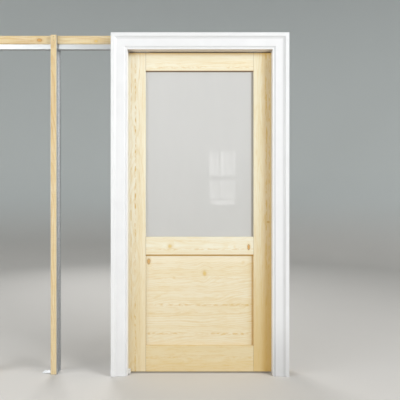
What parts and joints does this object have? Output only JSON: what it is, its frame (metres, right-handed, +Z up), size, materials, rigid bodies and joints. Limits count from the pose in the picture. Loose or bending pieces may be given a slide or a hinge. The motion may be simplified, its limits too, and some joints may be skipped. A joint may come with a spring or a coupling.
{
  "type": "glazed pocket door",
  "caption": "Sliding pine door with a tall glazed panel over a flat panel, in white cased jambs with its hidden pocket frame, track and hangers.",
  "frame": {"origin": "finished floor level, at the middle of the whole frame's width and depth; the doorway's middle is 427.2 mm along +X from it", "axes": "+Z up, -Y the face seen in the picture, -X the pocket side that the door slides into"},
  "size_m": [1.9696, 0.1524, 2.1506],
  "materials": {
    "pine_door": "bare knotty pine, planed and sanded",
    "pine_stud": "sawn pine, unfinished",
    "dowel": "turned beech",
    "white_paint": "semi-gloss white paint on wood",
    "glass": "pale grey obscured glass, smooth in front",
    "foam_tape": "grey-black glazing tape",
    "rubber": "black rubber",
    "zinc_steel": "galvanised, dull",
    "screw_steel": "yellow zinc plated",
    "aluminium": "mill finish",
    "nylon": "white nylon"
  },
  "bodies": {
    "frame": {"casing_front_head": "white_paint", "casing_front_pocket": "white_paint", "casing_front_strike": "white_paint", "casing_rear_head": "white_paint", "casing_rear_pocket": "white_paint", "casing_rear_strike": "white_paint", "door_bumper": "rubber", "door_guide_front": "nylon", "door_guide_rear": "nylon", "floor_bracket_mid": "zinc_steel", "floor_bracket_mouth": "zinc_steel", "frame_screws": "screw_steel", "head_jamb_front": "white_paint", "head_jamb_rear": "white_paint", "header_board_front": "pine_stud", "header_board_rear": "pine_stud", "header_bracket_pocket": "zinc_steel", "header_bracket_strike": "zinc_steel", "header_rail": "pine_stud", "mid_stud_front": "pine_stud", "mid_stud_rear": "pine_stud", "mouth_stud_front": "pine_stud", "mouth_stud_rear": "pine_stud", "pocket_end_post": "pine_stud", "shims": "pine_stud", "split_jamb_front": "white_paint", "split_jamb_rear": "white_paint", "strike_jamb": "white_paint", "strike_post": "pine_stud", "stud_wraps": "zinc_steel", "track": "aluminium", "track_screws": "screw_steel", "trim_screws": "screw_steel"},
    "door": {"door_stile_lead": "pine_door", "door_stile_trail": "pine_door", "door_top_rail": "pine_door", "door_mid_rail": "pine_door", "door_bottom_rail": "pine_door", "door_panel": "pine_door", "door_dowels": "dowel", "glass_pane": "glass", "glazing_tape": "foam_tape", "setting_blocks": "rubber", "glazing_beads_upright": "pine_door", "glazing_beads_cross": "pine_door", "hanger_plate_lead": "zinc_steel", "hanger_plate_trail": "zinc_steel", "plate_screws": "screw_steel", "pendant_bolts": "zinc_steel", "lock_nuts": "zinc_steel", "lever_rivets": "zinc_steel", "trolley_lead": "zinc_steel", "trolley_trail": "zinc_steel", "wheel_axles": "zinc_steel"},
    "lever_lead": {"lock_lever_lead": "nylon"},
    "lever_trail": {"lock_lever_trail": "nylon"},
    "wheels_lead_a": {"wheels_lead_a": "nylon"},
    "wheels_lead_b": {"wheels_lead_b": "nylon"},
    "wheels_trail_a": {"wheels_trail_a": "nylon"},
    "wheels_trail_b": {"wheels_trail_b": "nylon"}
  },
  "joints": [
    {"name": "door_slide", "type": "slide", "parent": "frame", "child": "door", "axis": [-1, 0, 0], "range_m": [0, 0.86]},
    {"name": "roll_lead_a", "type": "hinge", "parent": "door", "child": "wheels_lead_a", "pos_m": [0.8017, 0, 2.07715], "axis": [0, -1, 0], "continuous": true},
    {"name": "roll_lead_b", "type": "hinge", "parent": "door", "child": "wheels_lead_b", "pos_m": [0.7617, 0, 2.07715], "axis": [0, -1, 0], "continuous": true},
    {"name": "roll_trail_a", "type": "hinge", "parent": "door", "child": "wheels_trail_a", "pos_m": [0.0877, 0, 2.07715], "axis": [0, -1, 0], "continuous": true},
    {"name": "roll_trail_b", "type": "hinge", "parent": "door", "child": "wheels_trail_b", "pos_m": [0.0477, 0, 2.07715], "axis": [0, -1, 0], "continuous": true},
    {"name": "lock_lead", "type": "hinge", "parent": "door", "child": "lever_lead", "pos_m": [0.8007, 0.011, 2.0473], "axis": [0, 0, 1], "range_deg": [0, 90]},
    {"name": "lock_trail", "type": "hinge", "parent": "door", "child": "lever_trail", "pos_m": [0.0867, 0.011, 2.0473], "axis": [0, 0, 1], "range_deg": [0, 90]}
  ],
  "couplings": [
    {"joint": "roll_lead_a", "follows": "door_slide", "rad_per_m": 90.909},
    {"joint": "roll_lead_b", "follows": "door_slide", "rad_per_m": 90.909},
    {"joint": "roll_trail_a", "follows": "door_slide", "rad_per_m": 90.909},
    {"joint": "roll_trail_b", "follows": "door_slide", "rad_per_m": 90.909}
  ]
}
